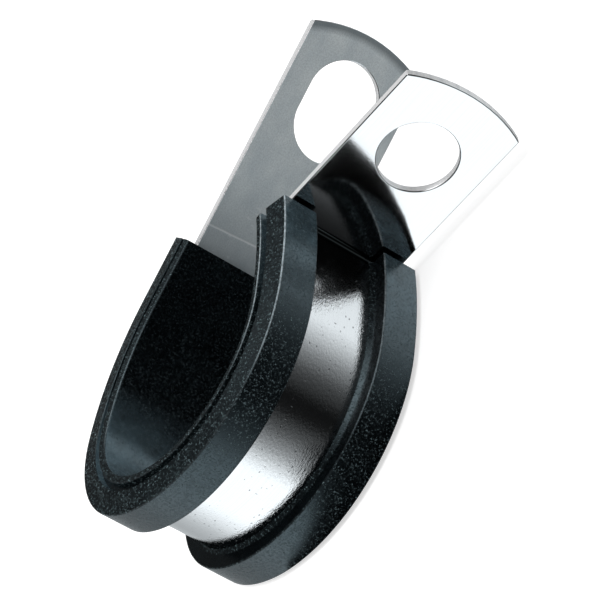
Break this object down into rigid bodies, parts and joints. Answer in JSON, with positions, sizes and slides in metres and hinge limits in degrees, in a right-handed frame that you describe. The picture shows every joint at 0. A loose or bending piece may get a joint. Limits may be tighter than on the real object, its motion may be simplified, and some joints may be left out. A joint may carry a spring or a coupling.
{
  "type": "p clip",
  "caption": "Sprung-open steel P-clip with a black rubber liner: a lined loop that holds a hose or cable bundle, a slotted back leg and a drilled front ear.",
  "frame": {"origin": "on the axis of the bundle seat, in the middle of the strap's width", "axes": "+Z along the bundle, +Y along the straight back leg from the loop to its tip, +X from the back leg towards the front ear"},
  "size_m": [0.0328, 0.0601, 0.0188],
  "materials": {
    "steel": "bright rolled strip, nearly mirror-like, with fine scratches",
    "rubber": "black extruded rubber, satin, with fine pitting and dust"
  },
  "bodies": {
    "root": {"strap": "steel", "liner": "rubber"}
  },
  "joints": []
}
